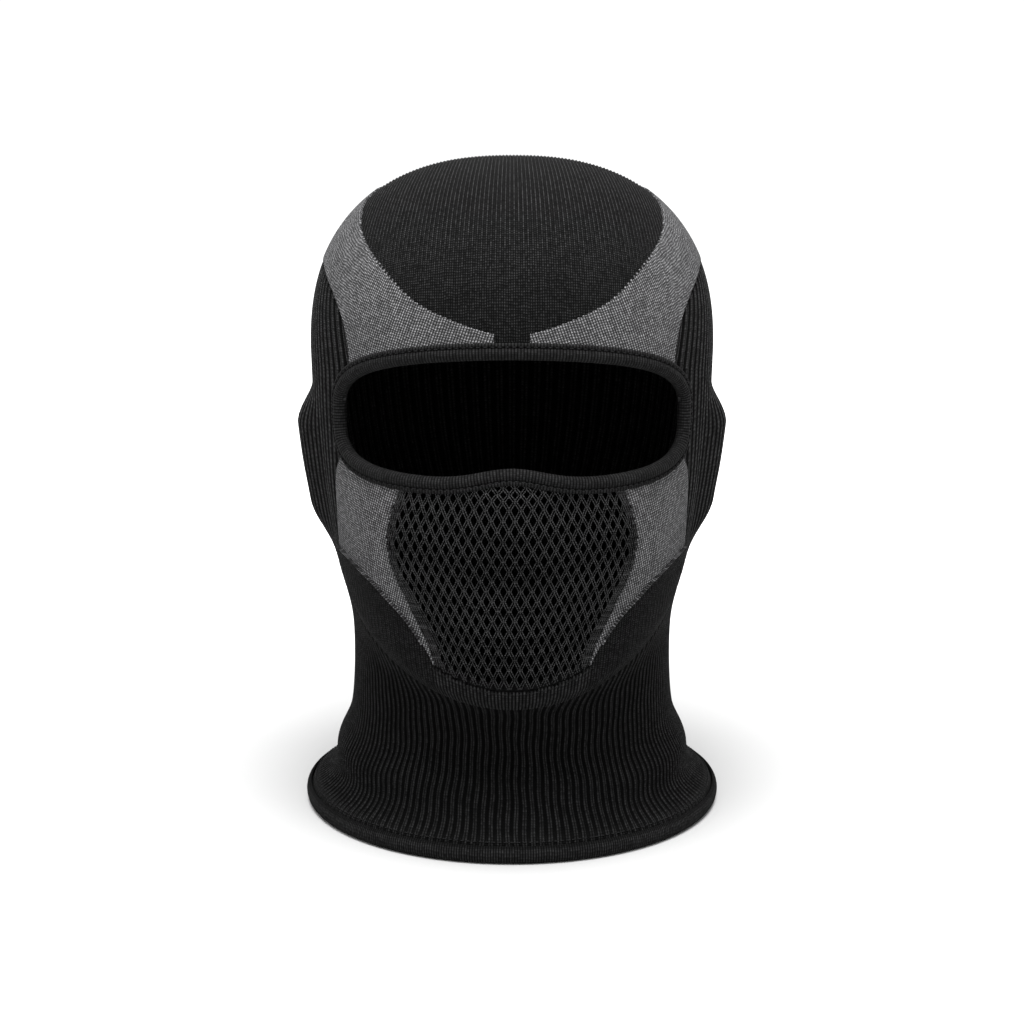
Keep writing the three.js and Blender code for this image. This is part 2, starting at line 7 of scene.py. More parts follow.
import bpy
import numpy as np
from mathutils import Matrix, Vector


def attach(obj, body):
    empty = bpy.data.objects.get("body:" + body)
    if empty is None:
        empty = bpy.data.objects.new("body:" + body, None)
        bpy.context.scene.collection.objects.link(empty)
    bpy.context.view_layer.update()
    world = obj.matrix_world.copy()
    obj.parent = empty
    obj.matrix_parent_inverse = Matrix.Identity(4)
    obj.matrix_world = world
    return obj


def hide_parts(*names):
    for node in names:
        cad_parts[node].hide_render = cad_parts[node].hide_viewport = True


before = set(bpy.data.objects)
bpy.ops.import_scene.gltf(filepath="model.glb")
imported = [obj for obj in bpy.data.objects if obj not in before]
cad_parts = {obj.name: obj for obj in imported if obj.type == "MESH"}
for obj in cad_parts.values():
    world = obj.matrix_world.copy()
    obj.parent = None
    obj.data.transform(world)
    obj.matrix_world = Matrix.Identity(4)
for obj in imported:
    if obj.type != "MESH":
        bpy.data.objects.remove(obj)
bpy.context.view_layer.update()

# %% [markdown]
# ## The skin
# A worn balaclava has no flat pattern of its own: the head inside decides its shape. The skin is
# therefore one function of two numbers, an angle round the head (0 at the nose, 90 at the wearer's
# left ear) and a ring (0 at the hem, 1 at the brow, 2 at the crown). Every panel is cut from it, so
# neighbours meet without fitting.

# %% Three profile lines, from hem to brow
MM = 0.001
BROW_HEIGHT, DOME_RISE, DOME_POWER = 192, 76, 2.4
HEAD = {"front": 94, "side": 82, "back": 104}
JAW_HEIGHT = {"front": 61.5, "side": 112, "back": 118}
NECK = {"front": 75, "side": 65.6, "back": 70}
HEM = {"front": 91, "side": 84.4, "back": 90}
NECK_FORM = {
    "front": [(1, 0), (0.94, 0.13), (0.5, 0.276), (0.25, 0.423), (0, 0.6), (0.125, 0.862)],
    "side": [(1, 0), (0.99, 0.063), (0.495, 0.134), (0.415, 0.232), (0.085, 0.384), (0.043, 0.714)],
    "back": [(1, 0), (0.95, 0.068), (0.6, 0.153), (0.35, 0.271), (0.05, 0.466), (0, 0.763)],
}
HEAD_FORM = {
    "front": [(0.925, 0), (0.989, 0.065), (1.043, 0.295), (1.064, 0.54), (1.016, 0.793), (1, 1)],
    "side": [(0.883, 0), (0.898, 0.075), (0.927, 0.25), (0.959, 0.45), (0.99, 0.75), (1, 1)],
    "back": [(0.75, 0), (0.808, 0.135), (0.894, 0.338), (0.942, 0.54), (0.981, 0.77), (1, 1)],
}
JAW_RING = 6 / 11
EAR_LIFT, NOSE_LIFT = 8, 3.5


def smooth(x, low, high):
    """0 below low, 1 above high, and 3t^2 - 2t^3 between them."""
    t = np.clip((x - low) / (high - low), 0, 1)
    return t * t * (3 - 2 * t)


def spline(points, share):
    """The uniform Catmull-Rom curve through points, its end points doubled, at shares 0..1."""
    points = np.asarray(points, float)
    spans = len(points) - 1
    at = np.clip(share, 0, 1) * spans
    i = np.minimum(at.astype(int), spans - 1)
    f = (at - i)[..., None]
    a, b, c, d = (points[np.clip(i + k, 0, spans)] for k in (-1, 0, 1, 2))
    return ((2 * f**3 - 3 * f**2 + 1) * b + (f**3 - 2 * f**2 + f) * (c - a) / 2
            + (3 * f**2 - 2 * f**3) * c + (f**3 - f**2) * (d - b) / 2)


def profile(where):
    """Corners of one profile line, as (radius, height)."""
    low = [(NECK[where] + (HEM[where] - NECK[where]) * flare, rise * JAW_HEIGHT[where])
           for flare, rise in NECK_FORM[where]]
    high = [(share * HEAD[where], JAW_HEIGHT[where] + (BROW_HEIGHT - JAW_HEIGHT[where]) * rise)
            for share, rise in HEAD_FORM[where]]
    return low + high


LINES = {where: profile(where) for where in HEAD}


# %% The skin as a function of angle and ring
def super_radius(across, along, sin, cos, power):
    """(|sin/across|^p + |cos/along|^p)^(-1/p): the radius of a superellipse."""
    return (np.abs(sin / across) ** power + np.abs(cos / along) ** power) ** (-1 / power)


def skin(angle, ring):
    """Points of the skin, mm: superellipse rings between the three profile lines, a superellipse
    dome above the brow, and a soft lift over each ear and the nose."""
    angle, ring = np.broadcast_arrays(np.asarray(angle, float), np.asarray(ring, float))
    turned = (angle + 540) % 360 - 180
    sin, cos = np.sin(np.radians(turned)), np.cos(np.radians(turned))
    low = np.clip(ring, 0, 1)
    side = spline(LINES["side"], low)
    end = np.where(cos[..., None] > 0, spline(LINES["front"], low), spline(LINES["back"], low))
    power = 2 + 0.25 * smooth(low, 0, JAW_RING)
    radius = super_radius(side[..., 0], end[..., 0], sin, cos, power)
    height = side[..., 1] + (end[..., 1] - side[..., 1]) * cos**2
    climb = np.radians(90 * np.clip(ring - 1, 0, 1))
    reach = super_radius(DOME_RISE, radius, np.sin(climb), np.cos(climb), DOME_POWER)
    radius = np.where(ring > 1, reach * np.cos(climb), radius)
    height = np.where(ring > 1, BROW_HEIGHT + reach * np.sin(climb), height)
    off = np.abs(turned)
    ear = (smooth(height, 104, 128) * (1 - smooth(height, 160, 179))
           * smooth(off, 62, 86) * (1 - smooth(off, 100, 128)))
    nose = np.exp(-((off / 10) ** 2) - ((height - 139.8) / 16) ** 2) * (ring < 1)
    radius = radius + EAR_LIFT * ear + NOSE_LIFT * nose
    return np.stack([radius * sin, -radius * cos, height], -1)


def ring_at(angle, height):
    """The ring that passes through a height at an angle, found by halving."""
    angle, height = np.broadcast_arrays(np.asarray(angle, float), np.asarray(height, float))
    low, high = np.zeros(angle.shape), np.full(angle.shape, 1.999)
    for _ in range(36):
        middle = (low + high) / 2
        below = skin(angle, middle)[..., 2] < height
        low, high = np.where(below, middle, low), np.where(below, high, middle)
    return low


def unit(v):
    """Vectors of length one."""
    return v / np.maximum(np.linalg.norm(v, axis=-1, keepdims=True), 1e-9)


def skin_normal(angle, ring):
    """The way out of the skin: the step round it crossed with the step up it."""
    near = np.clip(ring, 0.006, 1.98)
    turn = skin(angle + 0.5, near) - skin(angle - 0.5, near)
    rise = skin(angle, near + 0.004) - skin(angle, near - 0.004)
    return unit(np.cross(turn, rise))


print("brow ring, mm:", np.round(skin([0, 90, 180], 1), 1).tolist())

# %% [markdown]
# ## Lines on the skin
# The colour borders and seams are smooth lines through a few places, each an angle and a height.
# A line is kept as (angle, ring) and resampled to even steps of its true length, so that stitches
# along it stay the same size.


# %% Lines and the eye opening
def place_line(*places):
    """Rows of (angle, ring) for places of (angle, height)."""
    places = np.array(places, float)
    return np.stack([places[:, 0], ring_at(places[:, 0], places[:, 1])], 1)


def walk(line, count, curve=True):
    """count places at even steps of true length along a line of (angle, ring)."""
    fine = spline(line, np.linspace(0, 1, 24 * len(line))) if curve else np.asarray(line, float)
    steps = np.linalg.norm(np.diff(skin(fine[:, 0], fine[:, 1]), axis=0), axis=1)
    length = np.concatenate([[0], np.cumsum(steps)])
    goal = np.linspace(0, length[-1], count)
    return np.stack([np.interp(goal, length, fine[:, k]) for k in (0, 1)], 1)


def chain(*lines):
    """Lines end to end, each smoothed by itself, so that the joints stay corners."""
    fine = [spline(line, np.linspace(0, 1, 24 * len(line))) for line in lines]
    return np.concatenate([fine[0]] + [part[1:] for part in fine[1:]])


def length_of(line):
    """The true length of a line of (angle, ring), mm."""
    return np.linalg.norm(np.diff(skin(line[:, 0], line[:, 1]), axis=0), axis=1).sum()


OPENING_HALF, OPENING_WRAP, OPENING_MIDDLE = 24.8, 48.7, BROW_HEIGHT - 15.7


def opening(turn):
    """The panels' edge round the eye opening: a superellipse in angle and height, squarer below,
    whose lower edge lifts over the nose by a bell curve."""
    sin, cos = np.sin(np.radians(turn)), np.cos(np.radians(turn))
    reach = super_radius(OPENING_HALF, OPENING_WRAP, sin, cos, np.where(sin > 0, 2.1, 4))
    angle = reach * cos
    lift = np.where(sin < 0, 4.3 * np.exp(-((angle / 10) ** 2)), 0)
    return np.stack([angle, ring_at(angle, OPENING_MIDDLE + reach * sin + lift)], -1)


def opening_part(start, stop, half):
    """The upper (1) or lower (-1) edge of the opening between two angles."""
    whole = opening(half * np.linspace(179.9, 0.1, 721))
    angles = np.linspace(start, stop, 60)
    return np.stack([angles, np.interp(angles, whole[:, 0], whole[:, 1])], 1)


CROWN_EDGE = np.concatenate([
    place_line((4, 208), (9.2, 210.2), (13.7, 212.6), (17.6, 214.8), (22.8, 218.2), (27.5, 222.4),
               (33.2, 227.9), (40, 233.3), (46.9, 238.2), (55.6, 243.2), (63.4, 247), (77, 250.6)),
    [(90, 1.525), (120, 1.5), (150, 1.37), (180, 1.27)]])
TEMPLE_LOW = np.concatenate([
    place_line((42.9, 192.5), (43, 196.2), (43.4, 199.8), (44.3, 203.2), (46, 208.1), (48.6, 212.8),
               (52.6, 217.3), (56.9, 220.6), (65.5, 224.8), (73.4, 227)),
    [(90, 1.29), (120, 1.315), (143, 1.325)]])
MESH_SIDE = place_line((18.5, 79.8), (19.8, 87.6), (21.8, 94.8), (23.8, 101.2), (25.7, 107.4),
                       (27.7, 113), (29.2, 119.1), (29.9, 124.9), (29.9, 129.1), (29.3, 133.8),
                       (28.5, 138.6), (27.7, 142.2), (26.8, 146), (26.1, 151.5))
CHEEK_LOW = place_line((18.9, 80.2), (20, 84.2), (21.8, 89.6), (24.2, 95.2), (27.6, 100.9),
                       (32, 105.8), (37, 110.6), (43.5, 114.4), (48.5, 116.6), (55.4, 117.8))
CHEEK_BACK = place_line((55.4, 117.8), (54.3, 124.1), (52.9, 131.4), (52.1, 138.1), (51.6, 144.5),
                        (50.2, 151), (47, 157.6))
print("border lengths, mm:", [round(float(length_of(line)), 1) for line in
                              (CROWN_EDGE, TEMPLE_LOW, MESH_SIDE, CHEEK_LOW, CHEEK_BACK)])

# %% [markdown]
# ## From grids to closed sheets
# Knitting is a sheet with two faces. A grid of points gives its outer face, the same grid moved
# inwards gives the inner one, and every edge that only one cell uses gets a rim. Cells outside a
# panel's outline are dropped before that, which leaves an edge in steps of one stitch, as a change
# of yarn does.


# %% Sheets
FABRIC = 1.6


def cells_of(rows, columns, around=False, over=False):
    """Four-sided cells of a grid that may close on itself along its columns or its rows."""
    index = np.arange(rows * columns).reshape(rows, columns)
    if around:
        index = np.hstack([index, index[:, :1]])
    if over:
        index = np.vstack([index, index[:1]])
    return np.stack([index[:-1, :-1], index[:-1, 1:], index[1:, 1:], index[1:, :-1]], -1)


def grid_normals(points, around=False):
    """Normals of a grid: its step along a row crossed with its step to the next row."""
    wide = np.concatenate([points[:, -1:], points, points[:, :1]], 1) if around else points
    across = np.gradient(wide, axis=1)
    if around:
        across = across[:, 1:-1]
    return unit(np.cross(across, np.gradient(points, axis=0)))


def close_sheet(outer, inner, cells):
    """Both faces of a sheet and the rims between them, without the points that no cell uses."""
    count = len(outer)
    edges = np.concatenate([cells[:, [k, (k + 1) % 4]] for k in range(4)])
    key = edges[:, 0] * count + edges[:, 1]
    back = edges[:, 1] * count + edges[:, 0]
    rim = edges[~np.isin(key, back)]
    rims = np.stack([rim[:, 1], rim[:, 0], rim[:, 0] + count, rim[:, 1] + count], 1)
    faces = np.concatenate([cells, cells[:, ::-1] + count, rims])
    used = np.unique(faces)
    renumber = np.zeros(2 * count, int)
    renumber[used] = np.arange(len(used))
    return np.concatenate([outer, inner])[used], renumber[faces], used % count, len(rims)


def area_of(points, cells):
    """Area of four-sided cells, as half the cross product of their diagonals."""
    a, b, c, d = (points[cells[:, k]] for k in range(4))
    return float(np.linalg.norm(np.cross(c - a, d - b), axis=1).sum() / 2)


def rib(phase, sharp=0.6):
    """A round ridge between grooves: |sin(pi phase)| to the power sharp. Below one the grooves are
    narrow, above one the ridges are."""
    return np.abs(np.sin(np.pi * phase)) ** sharp


# %% Objects
def put(name, points, faces, uv, finish, slot, nodes, flat_faces=0, painted_light=None):
    """A finished piece at the origin, in metres, with its stitch map, its painted light and shade
    point by point (a number that scales its colour), its finish and its place in the frame."""
    mesh = bpy.data.meshes.new(name)
    mesh.from_pydata((np.asarray(points) * MM).tolist(), [], [list(face) for face in faces])
    turn = np.empty(len(mesh.loops), int)
    mesh.loops.foreach_get("vertex_index", turn)
    layer = mesh.uv_layers.new(name="stitches")
    layer.data.foreach_set("uv", np.asarray(uv, np.float32)[turn].ravel())
    # A point attribute of painted light and shade, which the finish multiplies into the yarn colour.
    painted_light_layer = mesh.attributes.new("painted_light", "FLOAT", "POINT")
    painted_light_layer.data.foreach_set("value", np.ones(len(points), np.float32) if painted_light is None
                               else np.asarray(painted_light, np.float32))
    soft = np.ones(len(mesh.polygons), bool)
    if flat_faces:
        soft[-flat_faces:] = False
    mesh.polygons.foreach_set("use_smooth", soft)
    mesh.update()
    mesh.validate()
    piece = bpy.data.objects.new(name, mesh)
    bpy.context.scene.collection.objects.link(piece)
    mesh.materials.append(finish)
    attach(piece, "root")
    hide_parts(*nodes)
    print(f"{name}: {len(mesh.vertices)} points, {sum(len(face) - 2 for face in faces)} triangles")
    return piece


def flat_size(base, kept, around=False):
    """The longest row and the longest column of the kept cells, mm. A cell counts with the mean of
    its two opposite sides."""
    wide = np.concatenate([base, base[:, :1]], 1) if around else base
    across = np.linalg.norm(np.diff(wide, axis=1), axis=2)
    up = np.linalg.norm(np.diff(wide, axis=0), axis=2)
    return (float(((across[:-1] + across[1:]) / 2 * kept).sum(1).max()),
            float(((up[:, :-1] + up[:, 1:]) / 2 * kept).sum(0).max()))


def knit_panel(name, base, uv, relief, finish, slot, nodes, keep=None, around=False, painted_light=None):
    """A closed sheet over a grid of skin points. relief lifts its outer face, keep says which cells
    it has, and its flat size is that of the smooth skin under it."""
    rows, columns = base.shape[:2]
    out = grid_normals(base, around)
    cells = cells_of(rows, columns, around)
    kept = np.ones(cells.shape[:2], bool) if keep is None else keep
    cells = cells[kept]
    flat_base = base.reshape(-1, 3)
    outer = (base + out * relief[..., None]).reshape(-1, 3)
    inner = (base - out * FABRIC + out * np.minimum(relief, 0)[..., None] * 0.4).reshape(-1, 3)
    points, faces, origin, rims = close_sheet(outer, inner, cells)
    piece = put(name, points, faces, uv.reshape(-1, 2)[origin], finish, slot, nodes, rims,
                painted_light.reshape(-1)[origin])
    area = area_of(flat_base, cells)
    width, length = flat_size(base, kept, around)
    print(f"  lies {width:.1f} mm wide and {length:.1f} mm long, {area / 100:.1f} cm2")
    return piece, area, width, length


# %% [markdown]
# ## Finishes
# All the yarns are matt. What tells the pieces apart is the size of their stitches, the painted
# shade in the gaps between them, and how light the yarn is, under painted light and shade laid on
# point by point. The stitch map of each piece counts columns of loops one way and rows the other,
# so one stitch formula serves them all: two slanting legs of a loop that meet in the middle of a
# column.


# %% Shader sums
class Wire:
    """A number in a finish, written as a sum: each operator adds one Math node."""

    def __init__(self, finish, socket):
        self.finish, self.socket = finish, socket

    def run(self, operation, *others):
        return self.finish.node("Math", {"operation": operation},
                                **{str(i): v for i, v in enumerate((self, *others))})

    def __add__(self, other): return self.run("ADD", other)
    def __mul__(self, other): return self.run("MULTIPLY", other)
    def __sub__(self, other): return self.run("SUBTRACT", other)
    def __rsub__(self, other): return self.finish.number(other).run("SUBTRACT", self)
    def __pow__(self, other): return self.run("POWER", other)
    __radd__, __rmul__ = __add__, __mul__


class Finish:
    """A material: the shader's own numbers first, then nodes for what changes over the surface."""

    def __init__(self, name, **numbers):
        self.material = bpy.data.materials.new(name)
        self.material.use_nodes = True
        self.tree = self.material.node_tree
        self.shader = self.tree.nodes["Principled BSDF"]
        for socket, value in numbers.items():
            self.shader.inputs[socket.replace("_", " ")].default_value = value

    def node(self, kind, settings=None, output=0, **values):
        """A node of a kind: its settings first, then a link or a value for each socket."""
        added = self.tree.nodes.new("ShaderNode" + kind)
        for key, value in (settings or {}).items():
            setattr(added, key, value)
        for key, value in values.items():
            socket = added.inputs[int(key) if key.isdigit() else key]
            if isinstance(value, Wire):
                self.tree.links.new(value.socket, socket)
            else:
                socket.default_value = value
        return Wire(self, added.outputs[output])

    def number(self, value):
        """A plain number as a wire, for sums that begin with one."""
        return self.node("Math", {"operation": "ADD"}, **{"0": float(value), "1": 0.0})

    def set(self, **wires):
        """Links wires to the shader's own sockets."""
        for socket, wire in wires.items():
            self.tree.links.new(wire.socket, self.shader.inputs[socket.replace("_", " ")])


# %% One formula for knitting
def knitted(name, colour, gap_shade, random, bump, roughness, loops=0.6, purl=0.0):
    """A knit finish. Across a column, a = |2 frac(u) - 1| is 0 in its middle and 1 in the gap.
    The two legs of a loop are the wave w = (1 + sin 2 pi (v + a/3 + drift))/2, where a slow noise
    lets the rows drift. The yarn's height is (1 - a^2)(loops w + 1 - loops). The tone is
    1 - s + s height^2/mean, where mean = (8/15)((1 - loops/2)^2 + loops^2/8) is the mean of
    the height squared and s, the argument after colour, is how far painted shade darkens the gaps
    and a painted highlight lifts the loops. random is how much one stitch differs from the next,
    loops how far the rows show, and purl how far one column in three sinks into painted shade, which
    makes a rib of the other two. The piece's point attribute of painted light and shade scales the
    tone."""
    finish = Finish(name, Roughness=roughness, Specular_IOR_Level=0.06)
    place = finish.node("UVMap", {"uv_map": "stitches"})
    u = finish.node("SeparateXYZ", output=0, **{"0": place})
    v = finish.node("SeparateXYZ", output=1, **{"0": place})
    column = u + 0.5 if purl else u
    across = ((column.run("FRACT") * 2.0) - 1.0).run("ABSOLUTE")
    body = finish.node("TexCoord", output="Object")
    drift = finish.node("TexNoise", Vector=body, Scale=260.0, Detail=0.0)
    slant = v + across * 0.33 + drift * 1.2
    loop = (slant * (2 * np.pi)).run("SINE") * 0.5 + 0.5
    height = (1.0 - across**2.0) * (loop * loops + (1.0 - loops))
    cell = finish.node("CombineXYZ", **{"0": column.run("FLOOR"), "1": slant.run("FLOOR")})
    chance = finish.node("TexWhiteNoise", {"noise_dimensions": "2D"}, Vector=cell)
    cloud = finish.node("TexNoise", Vector=body, Scale=38.0, Detail=3.0)
    painted_light = finish.node("Attribute", {"attribute_name": "painted_light"}, output="Fac")
    mean = 8 / 15 * ((1 - loops / 2) ** 2 + loops**2 / 8)
    # Painted shade in the gaps between loops and a painted highlight on the loop tops, then the
    # piece's painted light and shade.
    tone = ((1.0 - gap_shade) + height**2.0 * (gap_shade / mean)) * ((1.0 - random) + chance * (2 * random))
    tone = tone * painted_light * (cloud * 0.5 + 0.75)
    if purl:
        off_ridge = (((u * (1 / 3)).run("FRACT") * 2.0) - 1.0).run("ABSOLUTE")
        groove = ((off_ridge - 0.5) * 5.0).run("MAXIMUM", 0.0).run("MINIMUM", 1.0)
        tone = tone * (1.0 - groove * purl)
    paint = finish.node("VectorMath", {"operation": "SCALE"}, **{"0": colour, "Scale": tone})
    relief = finish.node("Bump", Height=height + chance * 0.3, Distance=bump * MM, Strength=1.0)
    finish.set(Base_Color=paint, Normal=relief)
    return finish.material


BLACK_KNIT = knitted("black_knit", (0.0062, 0.0062, 0.0063), 1.0, 0.65, 0.4, 0.9)
GREY_KNIT = knitted("grey_knit", (0.0585, 0.0583, 0.0597), 0.85, 0.4, 0.4, 0.9)
BLACK_RIB = knitted("black_rib", (0.0060, 0.0060, 0.0061), 0.95, 0.5, 0.3, 0.9, loops=0.4,
                    purl=0.85)
CHIN_RIB = knitted("chin_rib", (0.0082, 0.0082, 0.0083), 0.9, 0.5, 0.3, 0.9, loops=0.4)
BLACK_NET = knitted("black_net", (0.0125, 0.0125, 0.0127), 0.7, 0.5, 0.15, 0.88)
BLACK_TAPE = knitted("black_tape", (0.0072, 0.0072, 0.0073), 0.95, 0.4, 0.15, 0.9, loops=0.3)
ELASTIC = knitted("elastic", (0.4, 0.39, 0.37), 0.3, 0.05, 0.1, 0.6)
THREAD = knitted("thread", (0.008, 0.008, 0.0082), 0.35, 0.1, 0.1, 0.8)
print(len(bpy.data.materials), "finishes")

# %% [markdown]
# ## The crown
# The crown is one panel of black knit that covers the head like a lens. Its ribs run from the brow
# over the top to the back, a little closer on top, and fade into plain columns on the forehead. A
# polar grid would gather them in a point, so this grid turns about the line through both ears:
# its columns are the ribs' own lines.

# %% Crown
RIB_TURN, CROWN_RIBS, COLUMNS_PER_RIB = 1.1, 46, 4


def over_head(lateral, forward):
    """Directions from the middle of the brow ring, by a turn sideways and a turn from the brow up
    and over, as (angle, ring). The sideways turn shrinks a little at the top."""
    side = np.radians(lateral * (1 - 0.05 * np.sin(np.radians(forward)) ** 2))
    over = np.radians(forward)
    across, front, up = np.sin(side), np.cos(side) * np.cos(over), np.cos(side) * np.sin(over)
    angle = np.degrees(np.arctan2(across, front))
    return angle, 1 + np.degrees(np.arctan2(up, np.hypot(across, front))) / 90


def middles(values):
    """The middles between neighbouring values."""
    return (values[1:] + values[:-1]) / 2


CROWN_LINE = spline(CROWN_EDGE, np.linspace(0, 1, 400))
RING_MM = 125


def above_crown_edge(angle, ring):
    """Distance over the crown's border, mm, from the difference of the rings."""
    return (ring - np.interp(np.abs(angle), CROWN_LINE[:, 0], CROWN_LINE[:, 1])) * RING_MM


lateral = np.arange(-CROWN_RIBS * RIB_TURN, CROWN_RIBS * RIB_TURN + 0.01,
                    RIB_TURN / COLUMNS_PER_RIB)
forward = np.linspace(4.2, 159, 140)
LATERAL, FORWARD = np.meshgrid(lateral, forward)
crown = skin(*over_head(LATERAL, FORWARD))
spot = over_head(*np.meshgrid(middles(lateral), middles(forward)))
centre = skin(*spot)
strip = (np.abs(centre[..., 0]) < 8) & (centre[..., 2] > 201.6) & (centre[..., 1] < 0)
ribbed = smooth(crown[..., 2], 218, 256)
groove = (1 - rib(LATERAL / RIB_TURN, 1.5)) * ribbed
crown_uv = np.stack([LATERAL / (RIB_TURN / 2) + 0.5, FORWARD * 1.52], -1)
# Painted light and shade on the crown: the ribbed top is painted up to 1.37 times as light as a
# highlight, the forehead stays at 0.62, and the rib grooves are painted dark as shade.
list(knit_panel(
    "crown_knit", crown, crown_uv, -0.6 * groove, BLACK_KNIT, "black_knit", ["crown_panel"],
    keep=(above_crown_edge(*spot) > -1.6) | strip,
    painted_light=(0.62 + 0.75 * ribbed) * (1 - 0.97 * groove)))

# %% [markdown]
# ## Ribbed sides, back and neck
# The sides, the back and the neck are knitted in broad ribs, which stretch most. Their grids follow
# the head's own angle and ring, with seven, six or five columns of points to a rib. Where a ribbed
# panel goes under a neighbour's edge it sinks a little.

# %% Side panels over the ears
BACK_SEAM = 125
EAR_FRONT = np.array([
    (52.6, 100), (52.6, 106.1), (54.6, 109.1), (57.4, 112.5), (56.4, 117.6), (54.4, 124.1),
    (53, 131.4), (52.2, 138.1), (51.7, 144.5), (50, 151), (47.5, 157.6), (48.6, 166), (48.7, 176),
    (47.3, 185), (43.8, 192), (43, 198), (43.8, 202), (46, 208.1), (48.6, 212.8), (52.6, 217.3),
    (57, 220.6), (65.5, 224.8)])
TEMPLE_LINE = spline(TEMPLE_LOW, np.linspace(0, 1, 400))
EAR_RIB, EAR_COLUMNS = BACK_SEAM / 42, 7
SINK_DEEP, RIB_DEEP = 0.6, 1.3
ROW_PER_MM = 1.2


def below_temple(angle, ring):
    """Distance under the temple band's lower edge, mm."""
    return (np.interp(np.abs(angle), TEMPLE_LINE[:, 0], TEMPLE_LINE[:, 1]) - ring) * RING_MM


def behind_front(angle, height):
    """Distance behind the side panel's front edge, mm."""
    return (angle - np.interp(height, EAR_FRONT[:, 1], EAR_FRONT[:, 0])) * 1.4


def flipped(*grids):
    """The same grids on the other side of the face: columns from the far end, x turned round."""
    first = grids[0][:, ::-1] * (-1, 1, 1)
    return first, *[grid[:, ::-1] for grid in grids[1:]]


def sunk_rib(ridge, inside):
    """Relief of a ribbed panel: grooves between its ridges, and the sinking near its border, where
    inside is the distance from the border."""
    return -RIB_DEEP * (1 - ridge) - SINK_DEEP * (1 - smooth(inside, -0.5, 2.5))


def leaning(angle, ring):
    """The angle of a rib on the side panels, which leans back towards the top of the ear."""
    height = skin(angle, ring)[..., 2]
    free = smooth(BACK_SEAM - angle, 0, 55)
    return angle + 9 * free * smooth(height, 185, 240)


angles = BACK_SEAM - EAR_RIB / EAR_COLUMNS * np.arange(202)[::-1]
rings = np.linspace(JAW_RING - 0.006, 1.35, 92)
PHASE, RING = np.meshgrid(angles, rings)
ANGLE = leaning(PHASE, RING)
side = skin(ANGLE, RING)
middle_angle, middle_ring = np.meshgrid(middles(angles), middles(rings))
middle_angle = leaning(middle_angle, middle_ring)
middle_height = skin(middle_angle, middle_ring)[..., 2]
side_keep = (behind_front(middle_angle, middle_height) > -1.8) & (
    below_temple(middle_angle, middle_ring) > -2)
ridge = rib((BACK_SEAM - PHASE) / EAR_RIB)
near_edge = np.minimum(behind_front(ANGLE, side[..., 2]), below_temple(ANGLE, RING))
side_relief = sunk_rib(ridge, near_edge)
side_uv = np.stack([(BACK_SEAM - PHASE) / EAR_RIB * 3, RING * RING_MM * ROW_PER_MM], -1)
# Painted light and shade on the side ribs: the grooves darken to 0.25 as painted shade and the ridges
# lift to 1.35 as a painted highlight.
side_painted_light = 0.25 + 1.1 * ridge
for name, grids in (("left", (side, side_uv, side_relief, side_painted_light, side_keep)),
                    ("right", flipped(side, side_uv, side_relief, side_painted_light, side_keep))):
    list(knit_panel(f"side_rib_{name}", *grids[:3], BLACK_RIB, "black_rib",
                      [f"ear_panel_{name}"], keep=grids[4], painted_light=grids[3]))

# %% Back panel
BACK_RIBS, BACK_COLUMNS = 33, 6
BACK_RIB = 2 * (180 - BACK_SEAM) / BACK_RIBS
angles = BACK_SEAM + BACK_RIB / BACK_COLUMNS * np.arange(BACK_RIBS * BACK_COLUMNS + 1)
rings = np.linspace(JAW_RING - 0.006, 1.40, 96)
ANGLE, RING = np.meshgrid(angles, rings)


def back_top(angle, ring):
    """Distance under the lower of the two edges over the back panel, mm."""
    off = 180 - np.abs(angle - 180)
    under_temple = below_temple(off, ring) + 400 * smooth(off, 143, 150)
    return np.minimum(under_temple, -above_crown_edge(off, ring))


spot = np.meshgrid(middles(angles), middles(rings))
ridge = rib((ANGLE - BACK_SEAM) / BACK_RIB)
relief = sunk_rib(ridge, back_top(ANGLE, RING))
back_uv = np.stack([(ANGLE - BACK_SEAM) / BACK_RIB * 3, RING * RING_MM * ROW_PER_MM], -1)
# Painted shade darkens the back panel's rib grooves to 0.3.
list(knit_panel("back_rib", skin(ANGLE, RING), back_uv, relief, BLACK_RIB, "black_rib",
                  ["back_panel"], keep=back_top(*spot) > -2, painted_light=0.3 + 0.7 * ridge))

# %% Neck tube, with ribs that sway where the collar folds
NECK_RIBS, NECK_COLUMNS = 164, 5
angles = np.arange(NECK_RIBS * NECK_COLUMNS) * 360 / (NECK_RIBS * NECK_COLUMNS)
rings = np.linspace(0.03, JAW_RING + 0.012, 56)
ANGLE, RING = np.meshgrid(angles, rings)
height = skin(ANGLE, RING)[..., 2]
sway = 1.3 * np.sin(np.radians(ANGLE)) * np.exp(-(((height - 25) / 9) ** 2))
sway = sway * np.sign(np.cos(np.radians(ANGLE))) * np.abs(np.cos(np.radians(ANGLE))) ** 0.5
waver = 0.18 * np.sin(height / 2.7 + 3 * np.sin(np.radians(ANGLE * 5)))
neck = skin(ANGLE + sway + waver, RING)
ridge = 1 - (1 - rib(ANGLE * NECK_RIBS / 360, 0.9)) * smooth(height, 8.2, 12)
relief = -1.25 * (1 - ridge) - 0.8 * smooth(RING, JAW_RING - 0.03, JAW_RING)
neck_uv = np.stack([ANGLE * NECK_RIBS / 360 * 3, height / 0.9], -1)
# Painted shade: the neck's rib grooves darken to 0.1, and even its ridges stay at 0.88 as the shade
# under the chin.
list(knit_panel("neck_rib", neck, neck_uv, relief, BLACK_RIB, "black_rib", ["neck_tube"],
                  around=True, painted_light=0.1 + 0.78 * ridge))

